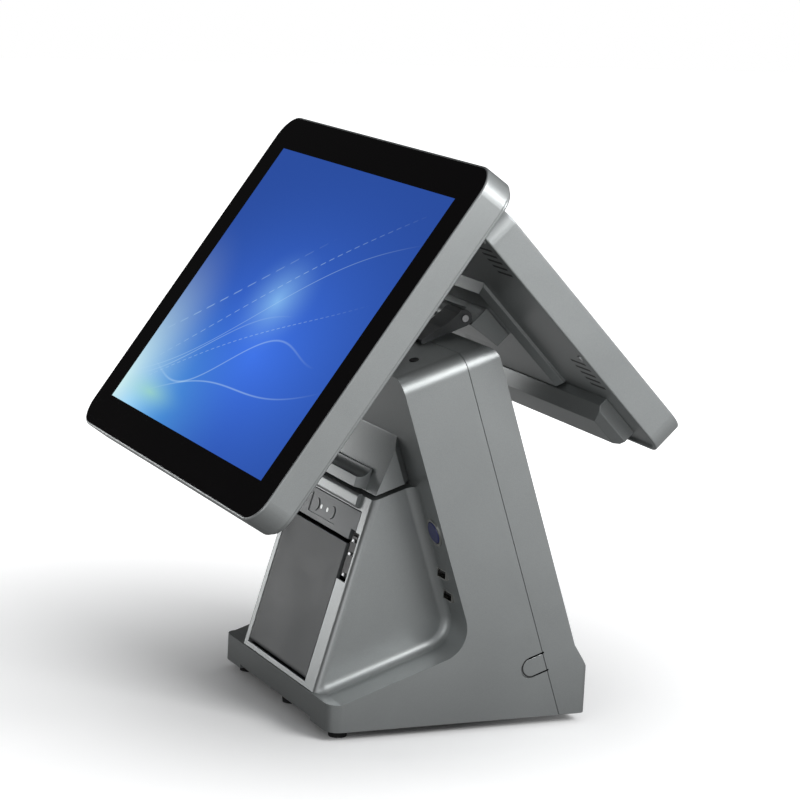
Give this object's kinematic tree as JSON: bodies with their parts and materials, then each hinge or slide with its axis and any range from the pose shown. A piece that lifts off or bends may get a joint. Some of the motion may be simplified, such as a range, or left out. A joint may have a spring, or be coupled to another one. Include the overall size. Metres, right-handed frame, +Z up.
{
  "type": "point of sale terminal",
  "caption": "Counter checkout terminal: tilting touch display on a leaning column, rear customer display, receipt printer with hinged door.",
  "frame": {"origin": "on the counter, under the middle of the whole terminal", "axes": "+Z up, +Y from the operator towards the customer, +X to the operator's right"},
  "size_m": [0.36, 0.3376, 0.4116],
  "materials": {
    "casing": "satin silver-grey metallic paint",
    "rubber": "matt black",
    "steel": "zinc-plated sheet",
    "turned_steel": "ground and polished",
    "board": "green solder mask",
    "aluminium": "plain extruded",
    "door": "fine-grained dark grey",
    "panel": "fine-grained dark grey",
    "black_plastic": "black moulded",
    "gear_plastic": "natural acetal",
    "glass": "black-backed touch glass",
    "button": "dark blue translucent",
    "lamp": "clear lens",
    "socket": "nickel-plated",
    "bracket": "dark grey satin paint"
  },
  "bodies": {
    "stand": {"base_plate": "steel", "base_screws": "turned_steel", "cable_tab_left": "casing", "cable_tab_right": "casing", "column_frame": "steel", "customer_hinge_base": "bracket", "customer_hinge_pin": "turned_steel", "dc_inlet": "black_plastic", "display_hinge_base": "bracket", "display_hinge_pin": "turned_steel", "door_pin": "turned_steel", "drawer_socket": "black_plastic", "friction_washers": "turned_steel", "head_heat_sink": "aluminium", "heat_sink": "aluminium", "indicator_panel": "panel", "io_bracket": "steel", "lamp_lenses": "lamp", "lan_socket": "socket", "lever_pin": "turned_steel", "main_board": "board", "paper_bucket": "black_plastic", "power_button_ring": "socket", "power_switch": "black_plastic", "print_head": "black_plastic", "printer_board": "board", "printer_chassis": "steel", "printer_hood": "casing", "rear_cover": "casing", "rubber_feet": "rubber", "speaker": "black_plastic", "ssd_drive": "black_plastic", "stand_shell": "casing", "stepper_motor": "steel", "usb_rear_socket": "socket", "usb_sockets": "socket"},
    "door": {"printer_door": "door", "platen_bushes": "black_plastic"},
    "platen": {"platen_shaft": "turned_steel", "platen_roller": "rubber", "platen_gear": "gear_plastic"},
    "idler": {"idler_gear": "gear_plastic"},
    "rotor": {"motor_pinion": "gear_plastic", "motor_rotor": "turned_steel"},
    "lever": {"release_lever": "black_plastic"},
    "power_key": {"power_button": "button"},
    "feed_key": {"feed_button": "panel"},
    "online_key": {"online_button": "panel"},
    "display": {"display_glass": "glass", "display_lcd": "black_plastic", "display_bezel": "casing", "display_back": "casing", "display_board": "board", "display_hinge_arm": "bracket"},
    "customer": {"customer_glass": "glass", "customer_lcd": "black_plastic", "customer_bezel": "casing", "customer_back": "casing", "customer_cable_cover": "casing", "customer_bracket": "casing"}
  },
  "joints": [
    {"name": "display_tilt", "type": "hinge", "parent": "stand", "child": "display", "pos_m": [0, -0.02916, 0.27307], "axis": [1, 0, 0], "range_deg": [0, 35]},
    {"name": "customer_tilt", "type": "hinge", "parent": "stand", "child": "customer", "pos_m": [0, 0.0418, 0.28968], "axis": [1, 0, 0], "range_deg": [-24, 0]},
    {"name": "door_hinge", "type": "hinge", "parent": "stand", "child": "door", "pos_m": [-0.0055, -0.06734, 0.03378], "axis": [1, 0, 0], "range_deg": [0, 90]},
    {"name": "platen_spin", "type": "hinge", "parent": "door", "child": "platen", "pos_m": [-0.0055, -0.03239, 0.11744], "axis": [1, 0, 0], "continuous": true},
    {"name": "idler_spin", "type": "hinge", "parent": "stand", "child": "idler", "pos_m": [-0.0055, -0.01554, 0.12334], "axis": [1, 0, 0], "continuous": true},
    {"name": "rotor_spin", "type": "hinge", "parent": "stand", "child": "rotor", "pos_m": [-0.0055, -0.00332, 0.12255], "axis": [1, 0, 0], "continuous": true},
    {"name": "lever_release", "type": "hinge", "parent": "stand", "child": "lever", "pos_m": [0.0565, -0.04334, 0.10806], "axis": [1, 0, 0], "range_deg": [0, 20], "stiffness_Nm_per_rad": 0.05, "springref_deg": -17.19},
    {"name": "power_press", "type": "slide", "parent": "stand", "child": "power_key", "axis": [0, 0.9455, 0.3256], "range_m": [0, 0.0015], "stiffness_N_per_m": 300, "springref_m": -0.003},
    {"name": "feed_press", "type": "slide", "parent": "stand", "child": "feed_key", "axis": [0, 0.9627, -0.2706], "range_m": [0, 0.0008], "stiffness_N_per_m": 300, "springref_m": -0.002},
    {"name": "online_press", "type": "slide", "parent": "stand", "child": "online_key", "axis": [0, 0.9627, -0.2706], "range_m": [0, 0.0008], "stiffness_N_per_m": 300, "springref_m": -0.002}
  ],
  "couplings": [
    {"joint": "idler_spin", "follows": "platen_spin", "ratio": -1.2},
    {"joint": "rotor_spin", "follows": "platen_spin", "ratio": 2.4}
  ]
}
